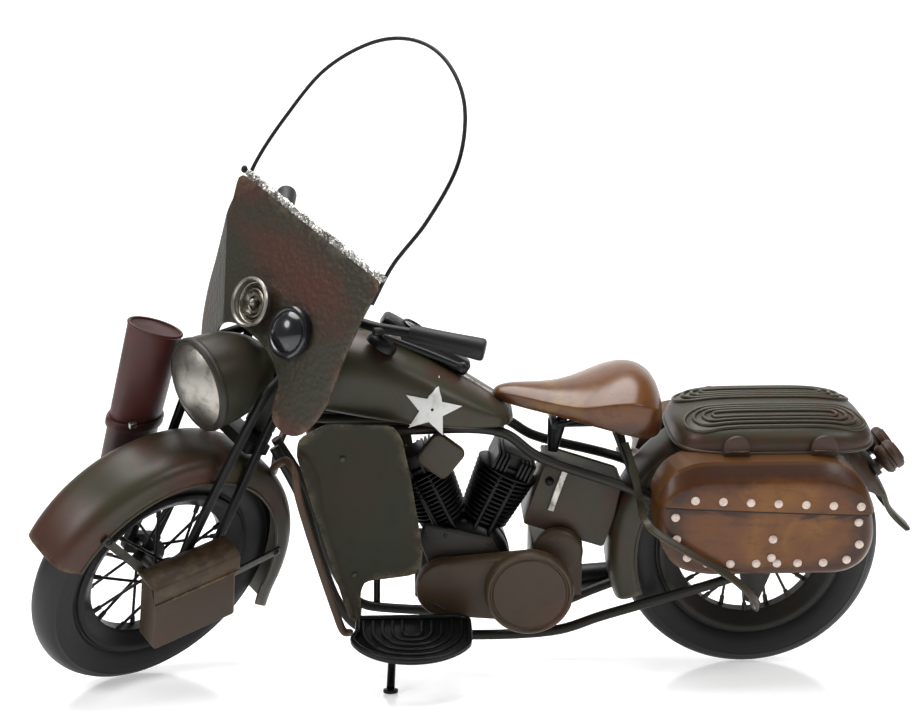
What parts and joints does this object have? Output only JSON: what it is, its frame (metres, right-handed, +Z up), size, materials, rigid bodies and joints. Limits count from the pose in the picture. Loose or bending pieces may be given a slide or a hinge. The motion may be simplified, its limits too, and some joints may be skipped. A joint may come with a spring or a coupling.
{
  "type": "model motorcycle",
  "caption": "Sheet-metal military-style display motorcycle on its side stand, with a turning fork and spinning wheels.",
  "frame": {"origin": "centre of the footprint on the floor, under the middle of the bounding box, with the motorcycle leaning on its side stand", "axes": "+X towards the rear of the motorcycle, +Y towards its right side, +Z up; the motorcycle leans 14.4 degrees to its left and its fork is turned 42.5 degrees to the left"},
  "size_m": [0.3632, 0.1494, 0.2618],
  "materials": {
    "olive_paint": "aged olive drab paint on tinplate, satin",
    "dark_olive_paint": "darker worn olive paint, satin",
    "black_paint": "black enamel, semi-gloss",
    "tyre_rubber": "matt black rubber",
    "grip_rubber": "black rubber, satin",
    "bare_steel": "bare bright metal",
    "pale_paint": "light grey matt paint",
    "saddle_brown": "glossy brown paint over formed sheet",
    "bag_brown": "leather-brown paint over formed sheet, satin",
    "scabbard_brown": "dark red-brown paint, satin",
    "lens_silver": "dull silver paint on a domed lens blank",
    "lamp_brown": "brown paint, satin"
  },
  "bodies": {
    "frame": {"head_tube": "olive_paint", "rear_fender": "olive_paint", "frame_tube_left": "olive_paint", "frame_tube_right": "olive_paint", "lower_tube_left": "olive_paint", "lower_tube_right": "olive_paint", "rear_axle": "bare_steel", "fuel_tank_left": "olive_paint", "fuel_tank_right": "olive_paint", "filler_cap": "bare_steel", "dash_panel": "black_paint", "tank_star_left": "pale_paint", "tank_star_right": "pale_paint", "crankcase": "black_paint", "rear_cylinder": "black_paint", "front_cylinder": "black_paint", "air_cleaner_cover": "olive_paint", "timing_cover": "dark_olive_paint", "primary_cover": "olive_paint", "clutch_cover": "olive_paint", "gearbox": "dark_olive_paint", "exhaust_pipe": "black_paint", "battery_box": "olive_paint", "saddle": "saddle_brown", "saddle_post": "black_paint", "luggage_pad": "olive_paint", "saddlebag_left": "bag_brown", "saddlebag_right": "bag_brown", "bag_stay_left": "olive_paint", "bag_stay_right": "olive_paint", "tail_lamp_left": "lamp_brown", "tail_lamp_right": "lamp_brown", "leg_shield_left": "olive_paint", "leg_shield_right": "olive_paint", "crash_bar": "dark_olive_paint", "footboard_left": "black_paint", "footboard_right": "black_paint"},
    "fork": {"steering_stem": "black_paint", "fork_leg_left": "black_paint", "fork_leg_right": "black_paint", "front_axle": "bare_steel", "fender_stay": "dark_olive_paint", "front_fender": "olive_paint", "toolbox": "olive_paint", "scabbard": "scabbard_brown", "headlamp_shell": "olive_paint", "headlamp_lens": "lens_silver", "windshield_apron": "olive_paint", "windshield_trim": "bare_steel", "windshield_hoop": "black_paint", "spot_lamp": "bare_steel", "horn": "black_paint", "handlebar": "black_paint", "grip_left": "grip_rubber", "grip_right": "grip_rubber"},
    "front_wheel": {"front_tyre": "tyre_rubber", "front_spoke_wheel": "black_paint"},
    "rear_wheel": {"rear_tyre": "tyre_rubber", "rear_spoke_wheel": "dark_olive_paint"},
    "side_stand": {"side_stand": "black_paint"}
  },
  "joints": [
    {"name": "steering", "type": "hinge", "parent": "frame", "child": "fork", "pos_m": [-0.08804, -0.00772, 0.11586], "axis": [0.4462, -0.2226, 0.8668], "range_deg": [-85, 0]},
    {"name": "front_wheel_spin", "type": "hinge", "parent": "fork", "child": "front_wheel", "pos_m": [-0.13627, -0.0039, 0.04938], "axis": [-0.6046, 0.6391, 0.4753], "continuous": true},
    {"name": "rear_wheel_spin", "type": "hinge", "parent": "frame", "child": "rear_wheel", "pos_m": [0.11226, 0.00828, 0.05353], "axis": [0, 0.9686, 0.2487], "continuous": true},
    {"name": "side_stand_fold", "type": "hinge", "parent": "frame", "child": "side_stand", "pos_m": [-0.03874, 0.00294, 0.01561], "axis": [0, -0.5197, 0.8543], "range_deg": [0, 84]}
  ]
}
